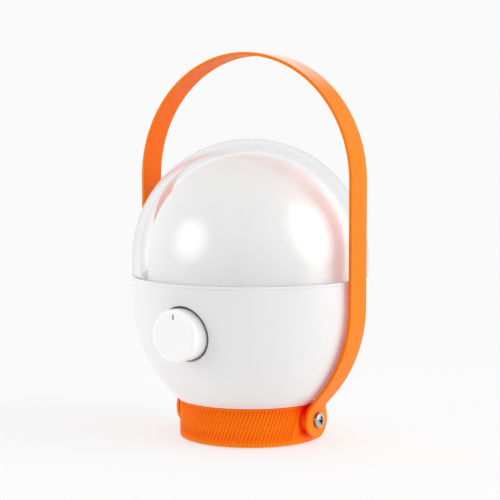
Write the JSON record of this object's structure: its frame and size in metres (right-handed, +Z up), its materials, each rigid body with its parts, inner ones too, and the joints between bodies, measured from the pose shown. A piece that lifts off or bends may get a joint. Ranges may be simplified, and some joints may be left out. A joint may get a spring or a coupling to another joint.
{
  "type": "portable lantern",
  "caption": "Portable dome lantern: clear dome over a white diffuser, white bowl with a rotary dimmer knob, ribbed orange base and a swinging orange strap handle.",
  "frame": {"origin": "centre of the rubber foot on the surface the lantern stands on", "axes": "+Z up along the lantern axis, -Y is the knob side, the handle pivots lie along X"},
  "size_m": [0.1018, 0.1012, 0.1561],
  "materials": {
    "clear_plastic": "clear polished polycarbonate",
    "seal_rubber": "grey silicone",
    "opal_plastic": "opal white, satin",
    "white_shell": "white moulded plastic, glossy",
    "orange_collar": "orange moulded plastic, satin, ribbed",
    "orange_strap": "orange soft thermoplastic, satin",
    "cover_plastic": "orange moulded plastic, fine texture",
    "foot_rubber": "dark grey rubber, matt",
    "nylon": "natural nylon",
    "brass": "turned brass",
    "plated_steel": "bright nickel-plated steel",
    "zinc_steel": "zinc-plated steel",
    "white_knob": "white moulded plastic, glossy",
    "grey_mark": "grey inlay",
    "dimmer_metal": "die-cast alloy",
    "dimmer_shell": "stamped steel",
    "tinned_pin": "tinned brass",
    "white_inner": "white moulded plastic",
    "light_board_metal": "white solder mask on aluminium",
    "diode": "phosphor-filled package",
    "tray_plastic": "black moulded plastic",
    "cell_sleeve": "blue shrink sleeve over a steel can",
    "nickel": "nickel strip",
    "board_green": "green solder mask on glass laminate",
    "chip_black": "black epoxy",
    "ferrite": "grey ferrite",
    "ceramic": "tan ceramic",
    "connector_white": "natural nylon",
    "port_steel": "drawn steel",
    "port_black": "black moulded plastic",
    "pipe_clear": "frosted clear plastic",
    "lead_sleeve": "soft insulated wire"
  },
  "bodies": {
    "body": {"clear_dome": "clear_plastic", "dome_seal": "seal_rubber", "diffuser_dome": "opal_plastic", "body_shell": "white_shell", "base_collar": "orange_collar", "base_cover": "cover_plastic", "foot_pad": "foot_rubber", "pivot_bushes": "nylon", "pivot_inserts": "brass", "pivot_screws": "plated_steel", "dimmer_housing": "dimmer_metal", "dimmer_can": "dimmer_shell", "dimmer_washer": "zinc_steel", "dimmer_nut": "zinc_steel", "dimmer_terminals": "tinned_pin", "deck_plate": "white_inner", "deck_screws": "zinc_steel", "light_board": "light_board_metal", "light_board_screws": "zinc_steel", "light_diodes": "diode", "battery_tray": "tray_plastic", "tray_screws": "zinc_steel", "battery_cells": "cell_sleeve", "battery_contacts": "nickel", "base_screws": "zinc_steel", "collar_screws": "zinc_steel", "main_board": "board_green", "board_screws": "zinc_steel", "port_shell": "port_steel", "port_tongue": "port_black", "light_pipes": "pipe_clear", "charge_diodes": "diode", "power_inductor": "ferrite", "board_chips": "chip_black", "board_capacitors": "ceramic", "wire_connectors": "connector_white", "dimmer_leads": "lead_sleeve", "battery_leads": "lead_sleeve", "light_leads": "lead_sleeve"},
    "handle": {"carry_strap": "orange_strap"},
    "knob": {"knob": "white_knob", "knob_marker": "grey_mark", "dimmer_shaft": "dimmer_metal"}
  },
  "joints": [
    {"name": "handle_swing", "type": "hinge", "parent": "body", "child": "handle", "pos_m": [0, 0, 0.0096], "axis": [1, 0, 0], "range_deg": [-90, 90]},
    {"name": "knob_turn", "type": "hinge", "parent": "body", "child": "knob", "pos_m": [0, -0.0477, 0.047], "axis": [0, 1, 0], "range_deg": [-150, 150]}
  ]
}
